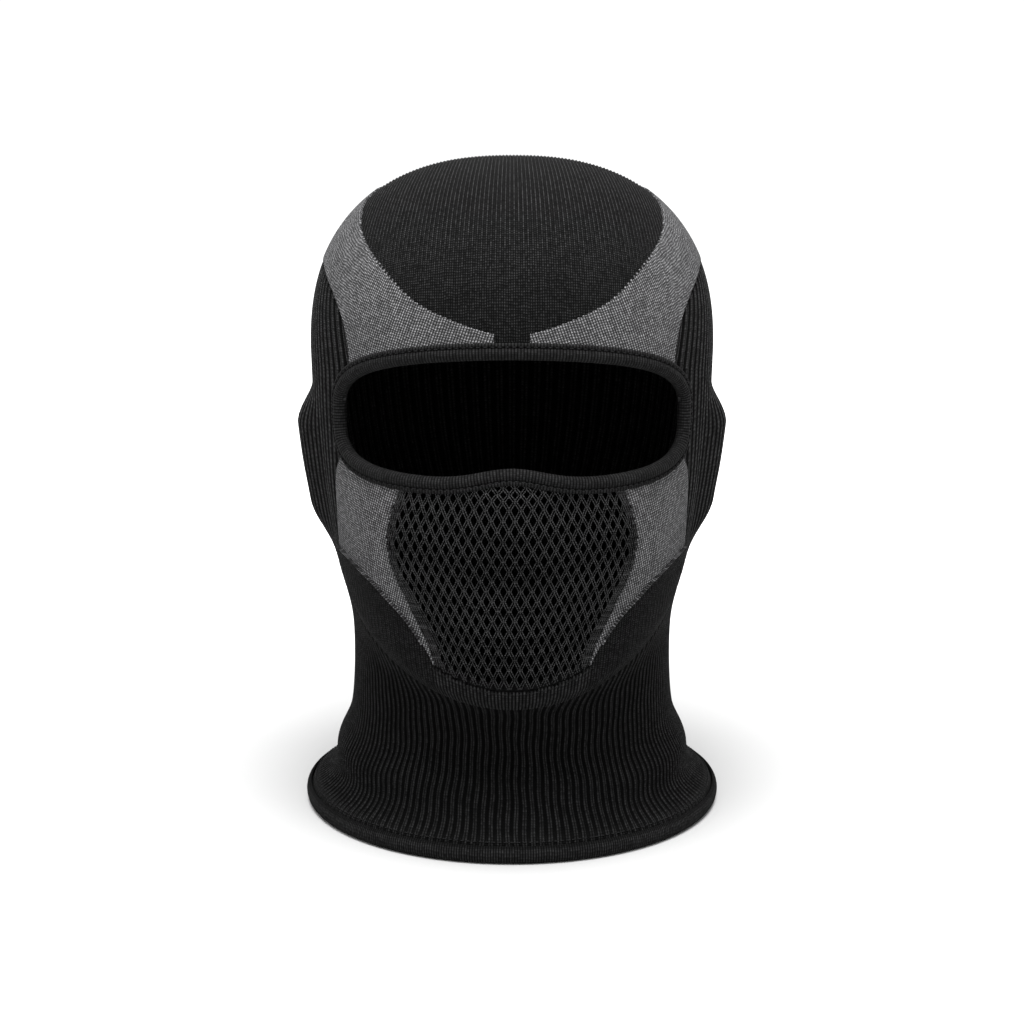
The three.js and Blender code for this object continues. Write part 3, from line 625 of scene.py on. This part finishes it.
# %% [markdown]
# ## Grey bands and cheeks
# The grey zones are knitted into the same fabric, so their borders step from stitch to stitch. Each
# is a patch between four lines: the two borders and two short ends, blended across. Every second
# pair of columns reaches one stitch further over a stepped border.


# %% A patch between four lines
def patch(bottom, top, left, right):
    """Coons patch: bottom to top plus left to right minus the patch of its four corners."""
    s = np.linspace(0, 1, len(bottom))[None, :, None]
    t = np.linspace(0, 1, len(left))[:, None, None]
    corners = ((1 - s) * (1 - t) * bottom[0] + s * (1 - t) * bottom[-1]
               + (1 - s) * t * top[0] + s * t * top[-1])
    return ((1 - t) * bottom + t * top + (1 - s) * left[:, None] + s * right[:, None] - corners)


def teeth(grid, row, step, start=0, stop=None):
    """Moves pairs of columns at a border one step out, as in a change of yarn."""
    stop = grid.shape[1] if stop is None else stop
    columns = np.arange(start, stop)
    out = (columns // 2) % 2 == 0
    inner = row + 1 if row == 0 else row - 1
    grid[row, columns[out]] += (grid[row] - grid[inner])[columns[out]] * step


def slanted_map(grid, points):
    """Columns by angle and rows by height, both turned a little, as the grey knit runs."""
    angle, height = grid[..., 0], points[..., 2]
    return np.stack([angle * 1.45 + height * 0.3, height - angle * 0.35], -1)


RAISED = 0.4
temple_bottom = chain(opening_part(4.1, 42.6, 1)[::3], TEMPLE_LOW)
temple_top = CROWN_LINE[(CROWN_LINE[:, 0] > 4.0) & (CROWN_LINE[:, 0] < 156)]
COLUMNS = 400
bottom, top = walk(temple_bottom, COLUMNS, False), walk(temple_top, COLUMNS, False)
temple = patch(bottom, top, walk(np.array([bottom[0], top[0]]), 34),
               walk(np.array([bottom[-1], top[-1]]), 34))
teeth(temple, -1, 0.9)
points = skin(temple[..., 0], temple[..., 1])
lift = np.full(points.shape[:2], RAISED)
painted_light = np.ones(points.shape[:2])
temple_map = slanted_map(temple, points)
for name, grids in (("left", (points, temple_map, lift)),
                    ("right", flipped(points, temple_map, lift))):
    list(knit_panel(f"temple_knit_{name}", *grids, GREY_KNIT, "grey_knit",
                      [f"temple_band_{name}"], painted_light=painted_light))

# %% Cheeks
front_line = walk(MESH_SIDE, 120)
back_line = walk(chain(CHEEK_LOW, CHEEK_BACK), 120, False)
top_line = walk(opening_part(26.1, 47, -1), 54, False)
cheek = patch(walk(np.array([front_line[0], back_line[0]]), 54), top_line, front_line, back_line)
turned = np.swapaxes(cheek, 0, 1)
teeth(turned, 0, 0.9)
teeth(turned, -1, 0.9, 0, 84)
points = skin(cheek[..., 0], cheek[..., 1])
sunk = 1 - smooth(np.arange(points.shape[1])[::-1], 0, 3)
lift = np.broadcast_to(RAISED - 0.25 * sunk, points.shape[:2])
# Painted shade: the cheek's last column of points, on its lower and back border where it sinks, is
# painted at 0.4.
painted_light = np.broadcast_to(1 - 0.6 * (sunk > 0.9), points.shape[:2])
cheek_map = slanted_map(cheek, points)
for name, grids in (("left", (points, cheek_map, lift, painted_light)),
                    ("right", flipped(points, cheek_map, lift, painted_light))):
    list(knit_panel(f"cheek_knit_{name}", *grids[:3], GREY_KNIT, "grey_knit",
                      [f"cheek_panel_{name}"], painted_light=grids[3]))

# %% [markdown]
# ## Jaw and chin
# Under the cheeks the fabric is plain black knit, and a narrow ribbed band closes the chin below
# the net. Both end in a fold over the top of the neck.

# %% Jaw panels and chin band
CHIN_WRAP, CHIN_SEAM, CHIN_RISE, CHIN_RIBS = 18.5, 70.1, 8.7, 22


def chin_height(angle):
    """The height of the chin's seam, a parabola that rises to both sides."""
    return CHIN_SEAM + CHIN_RISE * (angle / CHIN_WRAP) ** 2


def neck_fold(ring):
    """The half millimetre by which the lower edge turns in over the neck."""
    return -0.5 * (1 - smooth(ring, JAW_RING - 0.012, JAW_RING + 0.004))


cheek_low = np.concatenate([[(18.4, 79.9)], np.stack(
    [CHEEK_LOW[:, 0], skin(CHEEK_LOW[:, 0], CHEEK_LOW[:, 1])[:, 2]], 1)])
angles = np.arange(CHIN_WRAP - 0.8, 60, 0.5)
rings = np.linspace(JAW_RING - 0.012, 0.84, 70)
ANGLE, RING = np.meshgrid(angles, rings)
jaw = skin(ANGLE, RING)
middle_angle, middle_ring = np.meshgrid(middles(angles), middles(rings))
middle_height = skin(middle_angle, middle_ring)[..., 2]
keep = (middle_height < np.interp(middle_angle, *cheek_low.T) + 1.5) & (
    behind_front(middle_angle, middle_height) < 0.6)
wave = np.sin(ANGLE * 4.2 + RING * 40) * 0.12
under_cheek = np.interp(ANGLE, *cheek_low.T) - jaw[..., 2]
wave = wave - 0.6 * (1 - smooth(under_cheek, -0.5, 1.5)) - 0.7 * (1 - smooth(ANGLE, 18.0, 19.2))
fold = neck_fold(RING)
jaw_uv = np.stack([ANGLE * 1.35, jaw[..., 2] / 0.9 + np.sin(ANGLE * 0.35)], -1)
for name, grids in (("left", (jaw, jaw_uv, 0.12 + wave + fold, keep)),
                    ("right", flipped(jaw, jaw_uv, 0.12 + wave + fold, keep))):
    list(knit_panel(f"jaw_knit_{name}", *grids[:3], BLACK_KNIT, "black_knit",
                      [f"jaw_panel_{name}"], keep=grids[3], painted_light=np.full(jaw.shape[:2], 0.62)))

angles = np.linspace(-CHIN_WRAP - 0.4, CHIN_WRAP + 0.4, 225)
rings = np.linspace(JAW_RING - 0.012, 0.66, 34)
ANGLE, RING = np.meshgrid(angles, rings)
spot = np.meshgrid(middles(angles), middles(rings))
ridge = rib(ANGLE / CHIN_WRAP * CHIN_RIBS)
fold = neck_fold(RING)
under_seam = chin_height(ANGLE) - skin(ANGLE, RING)[..., 2]
fold = (fold + 0.35 * (1 - smooth(under_seam, 0.6, 2.2))
        - 0.5 * (1 - smooth(under_seam, -0.5, 0.6)))
chin_uv = np.stack([ANGLE / CHIN_WRAP * CHIN_RIBS, RING * 140], -1)
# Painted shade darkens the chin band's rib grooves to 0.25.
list(knit_panel("chin_rib", skin(ANGLE, RING), chin_uv, 0.15 - 0.6 * (1 - ridge) + fold,
                  CHIN_RIB, "black_rib", ["chin_band"],
                  keep=skin(*spot)[..., 2] < chin_height(spot[0]), painted_light=0.25 + 0.75 * ridge))

# %% [markdown]
# ## The net over the mouth
# The net lets the breath through. Its yarns run from the binding to the chin and swing left and
# right in turn, so that each meets its two neighbours and they leave long diamonds open. Here each
# yarn is a pair of real tubes side by side, with a bead for every loop. Towards the sides the yarns
# crowd into a dense edge, over a narrow strip of plain knit.


# %% Tubes along many paths at once
def tubes(paths, outward, radius, sides=6):
    """Tubes along paths of shape (number, steps, 3): each ring is radius times (cos, sin) in the
    plane of the outward direction and the direction across it."""
    number, steps = paths.shape[:2]
    along = unit(np.gradient(paths, axis=1))
    across = unit(np.cross(along, outward))
    up = np.cross(across, along)
    turn = np.arange(sides) * 2 * np.pi / sides
    ring = (across[:, :, None] * np.cos(turn)[:, None] + up[:, :, None] * np.sin(turn)[:, None])
    points = paths[:, :, None] + ring * np.broadcast_to(radius, (number, steps))[..., None, None]
    index = np.arange(number * steps * sides).reshape(number, steps, sides)
    turned = np.roll(index, -1, 2)
    quads = np.stack([index[:, :-1], turned[:, :-1], turned[:, 1:], index[:, 1:]], -1)
    caps = np.concatenate([index[:, 0, ::-1], index[:, -1]])
    length = np.cumsum(np.linalg.norm(np.diff(paths, axis=1, prepend=paths[:, :1]), axis=2), 1)
    uv = np.stack(np.broadcast_arrays(np.arange(sides) * 2 / sides, (length / 0.9)[..., None]), -1)
    faces = quads.reshape(-1, 4).tolist() + caps.tolist()
    return points.reshape(-1, 3), faces, uv.reshape(-1, 2)


def joined(*parts):
    """Several (points, faces, uv) as one."""
    points, faces, uv, start = [], [], [], 0
    for part_points, part_faces, part_uv in parts:
        points.append(part_points)
        faces += [[corner + start for corner in face] for face in part_faces]
        uv.append(part_uv)
        start += len(part_points)
    return np.concatenate(points), faces, np.concatenate(uv)


# %% The net's yarns
YARN_TURN, DIAMOND, YARN_RADIUS, YARN_STEPS, YARN_GAP = 1.25, 7.95, 0.25, 170, 0.46
CROWDING = 0.22
mesh_side = spline(MESH_SIDE, np.linspace(0, 1, 300))
side_height = skin(mesh_side[:, 0], mesh_side[:, 1])[:, 2]
number = np.arange(-25, 26)
t = np.linspace(0, 1, YARN_STEPS)
share = np.abs(number[:, None] * YARN_TURN) / 30
foot_angle = number * YARN_TURN * (1 - CROWDING * share[:, 0] ** 1.5)
foot = chin_height(np.clip(foot_angle, -CHIN_WRAP, CHIN_WRAP)) + 1.2
head_angle = np.clip(number * YARN_TURN, -26.5, 26.5)
lower = opening_part(-48, 48, -1)
head_ring = np.interp(head_angle, *lower.T)
head = skin(head_angle, head_ring)[:, 2] - 1.5
height = foot[:, None] + (head - foot)[:, None] * t
reach = np.interp(height, side_height, mesh_side[:, 0])
drawn = 1 - CROWDING * share**1.5 * (30 - reach) / (30 - CHIN_WRAP)
phase = 2 * np.pi * (height / DIAMOND
                     + 0.9 * smooth(height, 143, 158) * np.exp(-(share * 3) ** 2))
swing = np.arcsin(0.95 * np.cos(phase)) * 2 / np.pi * np.where(number % 2, 1, -1)[:, None]
angle = (number[:, None] * YARN_TURN + 0.5 * YARN_TURN * swing) * drawn
limit = reach - 0.5 - 0.28 * (number[:, None] % 6)
angle = np.clip(angle, -limit, limit)
ring = ring_at(angle, height)
outward = skin_normal(angle, ring)
depth = 0.1 + 0.25 * np.where(number % 2, 1, -1)[:, None] * np.sin(phase)
middle = skin(angle, ring) + outward * depth[..., None]
sideways = unit(np.cross(np.gradient(middle, axis=1), outward))
bead = 1 + 0.2 * np.sin(2 * np.pi * t * (height[:, -1:] - height[:, :1]) / 1.5)
twist = np.sin(2 * np.pi * t * (height[:, -1:] - height[:, :1]) / 3.0)[..., None] * 0.12
net = joined(*(tubes(middle + (sideways + outward * twist * hand) * YARN_GAP * hand, outward,
                     YARN_RADIUS * bead, sides=5) for hand in (-1, 1)))

# %% The dense edge of the net and the seam along the chin
def swept(line, section, closed, grow=None):
    """A section of (distance to the right, height over the skin) carried along a line on the skin.
    grow may add height point by point. The signed volume, a sum of triple products, tells whether
    the faces must be turned round."""
    base = skin(line[:, 0], line[:, 1])
    if closed:
        along = unit(np.roll(base, -1, 0) - np.roll(base, 1, 0))
    else:
        along = unit(np.gradient(base, axis=0))
    outward = skin_normal(line[:, 0], line[:, 1])
    right = unit(np.cross(along, outward))
    m, n = np.asarray(section, float).T
    n = np.broadcast_to(n, (len(line), len(n)))
    if grow is not None:
        n = n + grow
    points = base[:, None] + right[:, None] * m[:, None] + outward[:, None] * n[..., None]
    rows, columns = points.shape[:2]
    faces = cells_of(rows, columns, around=True, over=closed).reshape(-1, 4)
    uv = np.stack(np.broadcast_arrays(np.arange(rows)[:, None] / 4, np.arange(columns) * 0.8), -1)
    flat = points.reshape(-1, 3)
    a, b, c, d = (flat[faces[:, k]] for k in range(4))
    inside_out = np.einsum("ij,ij->", a, np.cross(b, c) + np.cross(c, d)) < 0
    faces = (faces[:, ::-1] if inside_out else faces).tolist()
    if not closed:
        ends = [np.arange(columns)[::-1], np.arange(columns) + (rows - 1) * columns]
        faces += [(end[::-1] if inside_out else end).tolist() for end in ends]
    return flat, faces, uv.reshape(-1, 2)


chin_angles = np.linspace(-CHIN_WRAP, CHIN_WRAP, 60)
chin_line = place_line(*zip(chin_angles, chin_height(chin_angles)))
left_side = walk(MESH_SIDE, 90)
edge_line = np.concatenate([(left_side * (-1, 1))[::-1], chin_line[1:-1], left_side])
edge_section = [(0.0, -0.35), (0.0, -1.2), (-1.2, -1.4), (-2.8, -1.4), (-2.8, -0.9), (-1.2, -0.5)]
edge_strip = swept(walk(edge_line, 240, False), edge_section, False)
net_points, net_faces, net_uv = joined(net, edge_strip)
is_yarn = np.arange(len(net_points)) < len(net[0])
# Painted shade: the dense edge strip, which lies sunk below the skin, is painted at 0.12 against 1.05
# on the yarns.
net_piece = put("mouth_net", net_points, net_faces, net_uv, BLACK_NET, "black_mesh", ["mouth_mesh"],
                painted_light=np.where(is_yarn, 1.05, 0.12))
net_patch = patch(chin_line, opening_part(-26.1, 26.1, -1), left_side * (-1, 1), left_side)
net_skin = skin(net_patch[..., 0], net_patch[..., 1])
net_cells = cells_of(*net_skin.shape[:2])
net_area = area_of(net_skin.reshape(-1, 3), net_cells.reshape(-1, 4))
net_width, net_length = flat_size(net_skin, np.ones(net_cells.shape[:2], bool))
print(f"the net is {net_width:.1f} mm wide and {net_length:.1f} mm long, {net_area / 100:.1f} cm2")

# %% [markdown]
# ## Folded tapes
# A knitted tape folded over the raw edge finishes the eye opening and the hem. Its section is drawn
# as the middle line of the tape, given the tape's thickness on both sides, and carried round the
# edge. Fine ribs cross it. The eye tape is stitched down in a groove near its outer edge, and holds
# an elastic in its fold.


# %% Tape sections
STEPS_PER_RIB, RIB_CUT = 4, 0.16


def folded(path, thick, count=26):
    """A closed outline around a smooth open path: half the thickness to each side of it."""
    line = spline(path, np.linspace(0, 1, count))
    along = unit(np.gradient(line, axis=0))
    across = np.stack([-along[:, 1], along[:, 0]], 1) * thick / 2
    return np.concatenate([line + across, (line - across)[::-1]])


def path_length(path):
    """The length of a smooth open path, mm: how wide the tape was before it was folded."""
    line = spline(path, np.linspace(0, 1, 200))
    return float(np.linalg.norm(np.diff(line, axis=0), axis=1).sum())


def cross_ribs(steps, per_rib, deep, section):
    """Heights for fine ribs across a tape: deep times a rounded ridge, on the half that shows."""
    ridge = rib(np.arange(steps) / per_rib, 0.7)
    shown = smooth(section[:, 1], -1.0, 0.4)
    return -deep * (1 - ridge)[:, None] * shown


EYE_PATH = [(3.75, 0.5), (3.2, 1.0), (2.75, 0.9), (2.35, 0.35), (1.9, 0.8), (1.2, 1.3), (0.1, 1.6),
            (-1.0, 1.3), (-1.9, 0.5), (-2.25, -0.8), (-1.8, -2.2), (-0.8, -2.9), (0.8, -3.0),
            (3.7, -2.7)]
eye_section = folded(EYE_PATH, 0.7)
EYE_STEPS = 1240
# Painted shade darkens the tape in its stitched groove, round 2.35 mm across its section.
eye_painted_shade = 0.75 - 0.68 * np.exp(-(((eye_section[:, 0] - 2.35) / 0.4) ** 2))
eye_loop = walk(opening(np.linspace(0, 360, 1441)), EYE_STEPS + 1, False)[:-1]
eye_length = float(length_of(np.concatenate([eye_loop, eye_loop[:1]])))
eye_tape = put("eye_tape", *swept(eye_loop, eye_section, True,
                                  cross_ribs(EYE_STEPS, STEPS_PER_RIB, RIB_CUT, eye_section)),
               BLACK_TAPE, "black_tape", ["eye_binding"], painted_light=np.tile(eye_painted_shade, EYE_STEPS))
path_length(EYE_PATH) * MM
print("eye tape runs", round(eye_length, 1), "mm round the opening")

elastic = folded([(-0.8, -0.35), (-0.8, -1.25)], 0.9, 8)
put("elastic_band", *swept(eye_loop[::4], elastic, True), ELASTIC, "elastic", ["eye_elastic"])

# %% Hem tape
HEM_PATH = [(6.9, 0.1), (6.3, 0.9), (5.2, 1.5), (3.6, 1.75), (1.7, 1.35), (0.55, 0.2), (0.4, -0.9),
            (0.75, -2.0), (2.2, -2.75), (4.5, -2.9), (6.8, -2.7)]
HEM_STEPS = 2240
hem_angles = np.arange(HEM_STEPS) * 360 / HEM_STEPS
hem_section = folded(HEM_PATH, 0.8, 19)
hem_ring = ring_at(hem_angles, 4.0)
hem_base = skin(hem_angles, hem_ring) * (1, 1, 0)
hem_out = unit(skin_normal(hem_angles, hem_ring) * (1, 1, 0))
hem_rise = cross_ribs(HEM_STEPS, STEPS_PER_RIB, RIB_CUT, hem_section)
hem_points = (hem_base[:, None] + hem_out[:, None] * (hem_section[:, 1] + hem_rise)[..., None]
              + np.array([0, 0, 1]) * hem_section[:, :1])
hem_faces = cells_of(HEM_STEPS, len(hem_section), around=True, over=True).reshape(-1, 4)
a, b, c = (hem_points.reshape(-1, 3)[hem_faces[:, k]] for k in range(3))
if np.einsum("ij,ij->i", a, np.cross(b, c)).sum() < 0:
    hem_faces = hem_faces[:, ::-1]
hem_across, hem_along = np.meshgrid(np.arange(len(hem_section)) * 0.8,
                                    np.arange(HEM_STEPS) / STEPS_PER_RIB)
hem_uv = np.stack([hem_along, hem_across], -1)
# Painted shade darkens the top of the hem tape, the crease where it meets the neck.
hem_painted_shade = 0.95 - 0.7 * smooth(hem_section[:, 0], 5.9, 6.7)
hem_tape = put("hem_tape", hem_points.reshape(-1, 3), hem_faces.tolist(), hem_uv.reshape(-1, 2),
               BLACK_TAPE, "black_tape", ["hem_band"], painted_light=np.tile(hem_painted_shade, HEM_STEPS))
path_length(HEM_PATH) * MM

# %% [markdown]
# ## Stitches
# Each line of sewing is a row of short stitches with gaps, where the thread dives into the cloth.
# One stitch is a small rounded bar, repeated along its line.


# %% Rows of stitches
def stitches(base, outward, along, length, radius, rings=6, sides=6):
    """Bars along each direction, whose radius follows a half circle and whose middle bows out."""
    t = np.linspace(0, 1, rings)
    paths = (base[:, None] + along[:, None] * ((t - 0.5) * length)[:, None]
             + outward[:, None] * (np.sin(np.pi * t) * radius * 0.8)[:, None])
    size = radius * np.sqrt(np.maximum(np.sin(np.pi * (0.06 + 0.88 * t)), 0))
    return tubes(paths, np.repeat(outward[:, None], rings, 1), size, sides)


def row_on_skin(line, right, out, length, radius):
    """Stitches along a line on the skin, moved to its right and outwards."""
    base = skin(line[:, 0], line[:, 1])
    along = unit(np.gradient(base, axis=0))
    outward = skin_normal(line[:, 0], line[:, 1])
    across = unit(np.cross(along, outward))
    return stitches(base + across * right + outward * out, outward, along, length, radius)


groove_line = walk(opening(np.linspace(0, 360, 1441)), 141, False)[:-1]
put("eye_stitches", *row_on_skin(groove_line, 2.5, 0.95, 1.7, 0.27),
    THREAD, "thread", ["eye_stitching"])
turn = np.arange(0, 360, 360 / 230)
hem_seam = ring_at(turn, 8.3)
hem_row, hem_outward = skin(turn, hem_seam), skin_normal(turn, hem_seam)
hem_way = unit(np.roll(hem_row, -1, 0) - np.roll(hem_row, 1, 0))
put("hem_stitches", *stitches(hem_row + hem_outward * 0.1, hem_outward, hem_way, 1.6, 0.25),
    THREAD, "thread", ["hem_stitching"])
put("chin_stitches", *row_on_skin(walk(chin_line, 27, False), 1.0, 0.1, 1.6, 0.22),
    THREAD, "thread", ["chin_stitching"])

# %% [markdown]
# ## Light, floor and camera
# The knit is black, so the light decides whether its ribs show, with painted shade in their grooves
# to help. A white surround gives an even light from everywhere, and one large lamp, high and a
# little in front, models the crown and lets the chin shade the neck. The floor's colour is greyer
# under the piece, a painted shadow that deepens the soft shadow lying there, and white further out.

# %% Floor and light
floor_mesh = bpy.data.meshes.new("floor")
# The floor's colour is darker near the piece and whitens from 0.2 to 0.6 m out: a painted shadow
# round the piece, which deepens the rendered one.
FLOOR_HALF, SHADOW_TONE, FAR_TONE = 6, 0.37, 0.95
floor_mesh.from_pydata([(x * FLOOR_HALF, y * FLOOR_HALF, 0) for x, y in
                        ((-1, -1), (1, -1), (1, 1), (-1, 1))], [], [(0, 1, 2, 3)])
floor = bpy.data.objects.new("floor", floor_mesh)
bpy.context.scene.collection.objects.link(floor)
white = Finish("white_floor", Roughness=0.9)
across_floor = white.node("VectorMath", {"operation": "LENGTH"}, output="Value",
                          **{"0": white.node("TexCoord", output="Object")})
away = ((across_floor - 0.2) * 2.5).run("MAXIMUM", 0.0).run("MINIMUM", 1.0)
tone = away * (FAR_TONE - SHADOW_TONE) + SHADOW_TONE
white.set(Base_Color=white.node("CombineXYZ", **{axis: tone for axis in "012"}))
floor_mesh.materials.append(white.material)

world = bpy.data.worlds.new("studio")
bpy.context.scene.world = world
world.use_nodes = True
world.node_tree.nodes["Background"].inputs["Color"].default_value = (1, 1, 1, 1)
world.node_tree.nodes["Background"].inputs["Strength"].default_value = 1.07
bpy.context.scene.view_settings.view_transform = "Standard"


def lamp(name, place, aim, size, power):
    """A square area lamp at a place, turned to face aim."""
    data = bpy.data.lights.new(name, "AREA")
    data.size, data.energy = size, power
    holder = bpy.data.objects.new(name, data)
    holder.location = place
    way = Vector(aim) - Vector(place)
    holder.rotation_euler = way.to_track_quat("-Z", "Y").to_euler()
    bpy.context.scene.collection.objects.link(holder)


lamp("key", (0.0, -0.3, 1.65), (0, 0, 0.15), 1.1, 80)

# %% Camera
ELEVATION, DISTANCE, AIM = np.radians(12), 1.0, Vector((0, 0, 0.121))
camera_data = bpy.data.cameras.new("camera")
camera_data.lens, camera_data.sensor_width = 84.375, 36
camera = bpy.data.objects.new("camera", camera_data)
camera.location = AIM + DISTANCE * Vector((0, -np.cos(ELEVATION), np.sin(ELEVATION)))
camera.rotation_euler = (AIM - camera.location).to_track_quat("-Z", "Y").to_euler()
bpy.context.scene.collection.objects.link(camera)
bpy.context.scene.camera = camera
